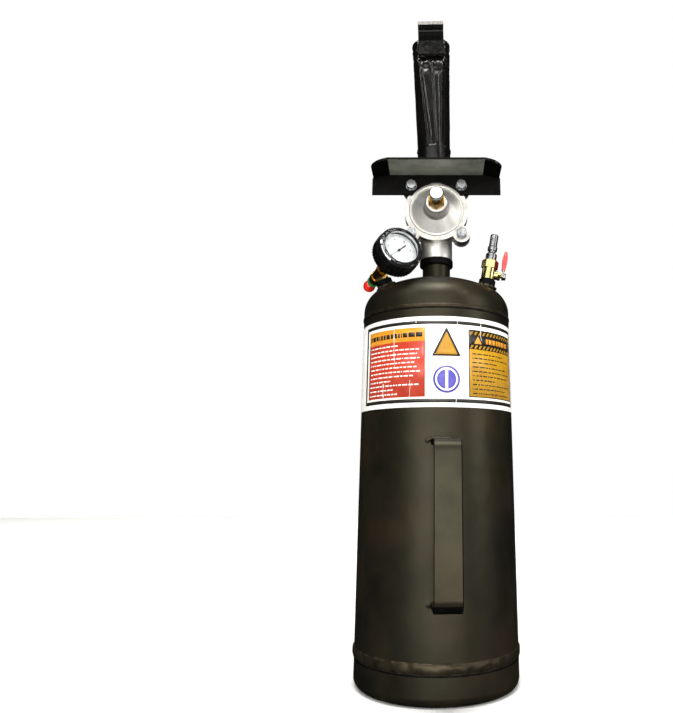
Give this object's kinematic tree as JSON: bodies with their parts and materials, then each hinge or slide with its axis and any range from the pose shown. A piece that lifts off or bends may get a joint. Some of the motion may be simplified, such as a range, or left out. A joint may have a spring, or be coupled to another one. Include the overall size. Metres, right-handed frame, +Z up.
{
  "type": "tyre bead seater tank",
  "caption": "Hand-held air tank with a domed head, a pulse valve fired by a push button, a flattened barrel with a rim hook, a gauge, a relief valve and a small ball valve.",
  "frame": {"origin": "centre of the ring that the tank stands on, on the floor", "axes": "+Z up along the tank's axis, front with the handle, label and button towards -Y, +X to the user's right when facing the front"},
  "size_m": [0.1642, 0.2056, 0.7709],
  "materials": {
    "tank_paint": "satin black paint over welded steel plate",
    "weld_paint": "black paint over an uneven weld bead",
    "gloss_black_paint": "glossy black paint on steel pipe and sheet",
    "label_film": "printed film with plain coloured panels and bars",
    "cast_aluminium": "sand-cast aluminium with a grainy skin",
    "rubber": "moulded black rubber",
    "zinc_steel": "bright zinc-plated steel",
    "spring_steel": "drawn spring wire",
    "brass": "turned brass, lightly tarnished",
    "chrome": "polished chrome plate",
    "gauge_case_steel": "black painted pressed steel",
    "bezel_chrome": "bright plated ring",
    "clear_glass": "clear gauge glass",
    "dial_white": "white dial with a printed scale",
    "needle_black": "black painted pointer",
    "green_plastic": "green moulded band",
    "red_plastic": "glossy red moulded knob",
    "red_vinyl": "dipped red vinyl grip",
    "seat_plastic": "white seat rings"
  },
  "bodies": {
    "root": {"tank_shell": "tank_paint", "top_head": "tank_paint", "bottom_head": "tank_paint", "seam_welds": "weld_paint", "carry_handle": "tank_paint", "label": "label_film", "outlet_stub": "gloss_black_paint", "stub_collar": "gloss_black_paint", "gauge_boss": "gloss_black_paint", "inlet_boss": "gloss_black_paint", "valve_body": "cast_aluminium", "valve_cover": "cast_aluminium", "diaphragm": "rubber", "main_spring": "spring_steel", "cover_bolts": "zinc_steel", "spring_washers": "zinc_steel", "flat_washers": "zinc_steel", "pilot_body": "brass", "pilot_spring": "spring_steel", "handle_bar": "gloss_black_paint", "outlet_nipple": "gloss_black_paint", "outlet_elbow": "gloss_black_paint", "barrel_pipe": "gloss_black_paint", "barrel": "gloss_black_paint", "rim_hook": "gloss_black_paint", "brass_tee": "brass", "gauge_stem": "brass", "gauge_case": "gauge_case_steel", "gauge_boot": "rubber", "gauge_bezel": "bezel_chrome", "gauge_lens": "clear_glass", "gauge_dial": "dial_white", "gauge_tube": "brass", "gauge_movement": "brass", "relief_body": "brass", "relief_band": "green_plastic", "relief_spring": "spring_steel", "ball_valve_body": "brass", "end_nut": "brass", "ball_seats": "seat_plastic", "packing_nut": "brass", "air_plug": "zinc_steel"},
    "push_button": {"pilot_button": "chrome", "pilot_seal": "rubber"},
    "lifting_plate": {"diaphragm_plate": "zinc_steel"},
    "tap_lever": {"flow_ball": "chrome", "ball_stem": "brass", "lever": "zinc_steel", "lever_grip": "red_vinyl", "lever_nut": "zinc_steel"},
    "needle": {"gauge_needle": "needle_black"},
    "relief_pull": {"relief_poppet": "brass", "relief_knob": "red_plastic"}
  },
  "joints": [
    {"name": "button_push", "type": "slide", "parent": "root", "child": "push_button", "axis": [0, 1, 0], "range_m": [0, 0.004], "stiffness_N_per_m": 900, "springref_m": -0.003, "deforming": ["pilot_spring"]},
    {"name": "plate_lift", "type": "slide", "parent": "root", "child": "lifting_plate", "axis": [0, -1, 0], "range_m": [0, 0.006], "stiffness_N_per_m": 1500, "springref_m": -0.004, "deforming": ["main_spring", "diaphragm"]},
    {"name": "tap_turn", "type": "hinge", "parent": "root", "child": "tap_lever", "pos_m": [0.05702, -0.022, 0.4017], "axis": [0.9848, 0, -0.1736], "range_deg": [0, 90]},
    {"name": "needle_turn", "type": "hinge", "parent": "root", "child": "needle", "pos_m": [-0.03769, -0.06877, 0.41454], "axis": [-0.4494, 0.866, -0.2192], "range_deg": [0, 270], "stiffness_Nm_per_rad": 0.00005, "springref_deg": -11.46},
    {"name": "relief_pull_out", "type": "slide", "parent": "root", "child": "relief_pull", "axis": [-0.4494, 0.866, -0.2192], "range_m": [0, 0.0025], "stiffness_N_per_m": 700, "springref_m": -0.002, "deforming": ["relief_spring"]}
  ]
}
